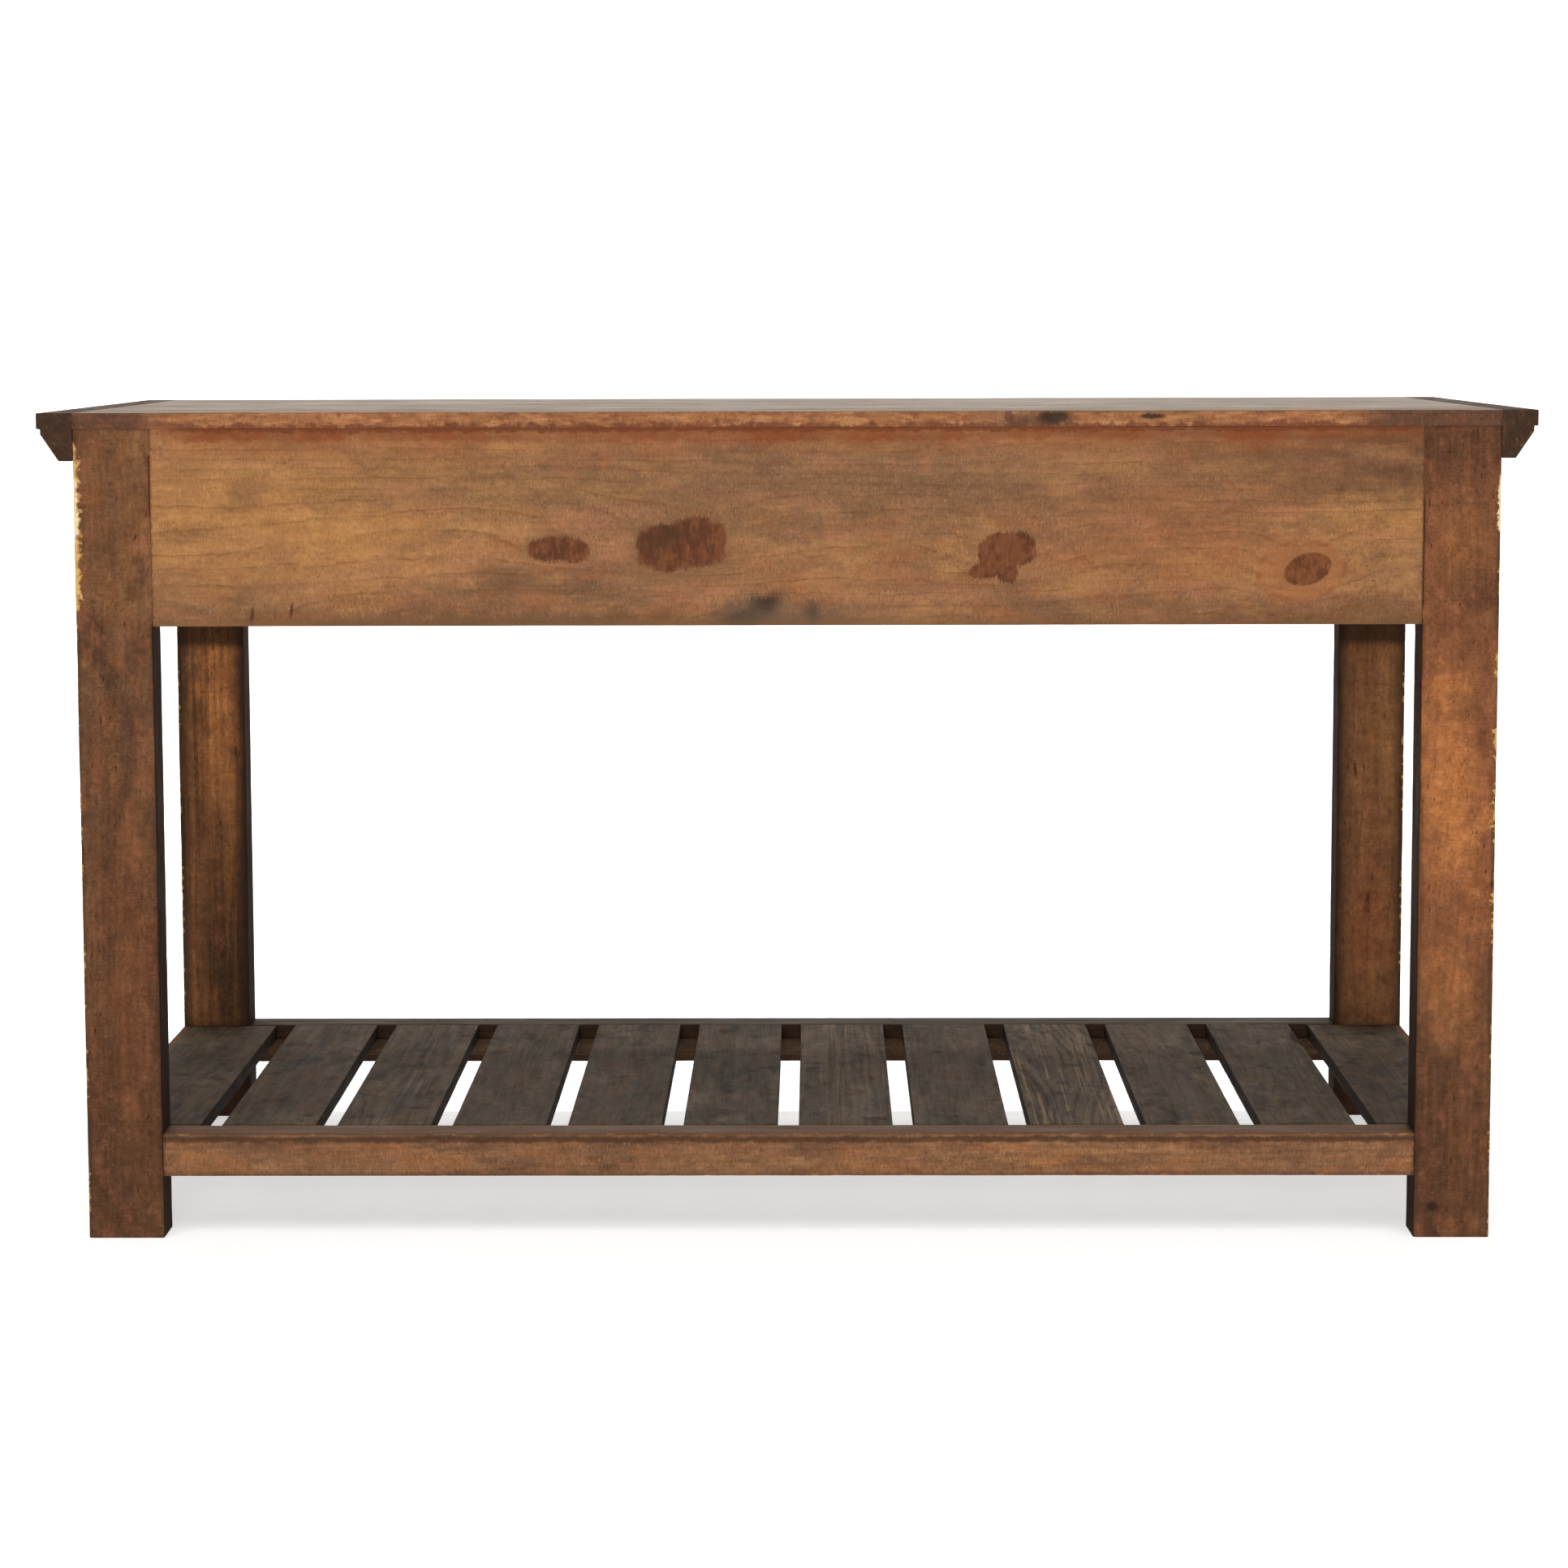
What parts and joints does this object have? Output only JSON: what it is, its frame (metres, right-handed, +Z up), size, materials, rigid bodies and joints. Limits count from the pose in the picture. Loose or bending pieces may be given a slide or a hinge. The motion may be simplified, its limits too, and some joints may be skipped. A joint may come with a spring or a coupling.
{
  "type": "potting bench",
  "caption": "Rustic wooden work bench: boarded top with end mouldings on a deep apron frame, square legs and a low slatted shelf.",
  "frame": {"origin": "on the floor, under the middle of the bench", "axes": "+X along the bench's length to the right as seen from the front, +Y to the back, +Z up"},
  "size_m": [1.4, 0.6, 0.785],
  "materials": {
    "leg_wood": "dark reddish-brown stain, saw-marked, arrises rubbed through to yellow wood",
    "apron_wood": "golden-brown stain with dark knots, satin wax",
    "top_wood": "greyish golden-brown stain, satin wax",
    "moulding_wood": "brown stain, satin wax",
    "stretcher_wood": "orange-brown stain with worn arrises",
    "slat_wood": "dark grey-brown stain, rough sawn",
    "batten_wood": "thin brown stain, unpolished",
    "screw_steel": "zinc-plated, dull"
  },
  "bodies": {
    "root": {"apron_front": "apron_wood", "apron_left": "apron_wood", "apron_rear": "apron_wood", "apron_right": "apron_wood", "cleat_screws": "screw_steel", "cross_batten_left": "batten_wood", "cross_batten_right": "batten_wood", "end_moulding_left": "moulding_wood", "end_moulding_right": "moulding_wood", "ledger_screws": "screw_steel", "leg_front_left": "leg_wood", "leg_front_right": "leg_wood", "leg_rear_left": "leg_wood", "leg_rear_right": "leg_wood", "moulding_screws": "screw_steel", "outer_slat_screws": "screw_steel", "slat_01": "slat_wood", "slat_02": "slat_wood", "slat_03": "slat_wood", "slat_04": "slat_wood", "slat_05": "slat_wood", "slat_06": "slat_wood", "slat_07": "slat_wood", "slat_08": "slat_wood", "slat_09": "slat_wood", "slat_10": "slat_wood", "slat_11": "slat_wood", "slat_12": "slat_wood", "slat_ledger_front": "batten_wood", "slat_ledger_rear": "batten_wood", "slat_screws": "screw_steel", "stretcher_front": "stretcher_wood", "stretcher_left": "stretcher_wood", "stretcher_rear": "stretcher_wood", "stretcher_right": "stretcher_wood", "top_board_1": "top_wood", "top_board_2": "top_wood", "top_board_3": "top_wood", "top_board_4": "top_wood", "top_board_5": "top_wood", "top_cleat_front": "batten_wood", "top_cleat_left": "batten_wood", "top_cleat_rear": "batten_wood", "top_cleat_right": "batten_wood", "top_screws": "screw_steel"}
  },
  "joints": []
}
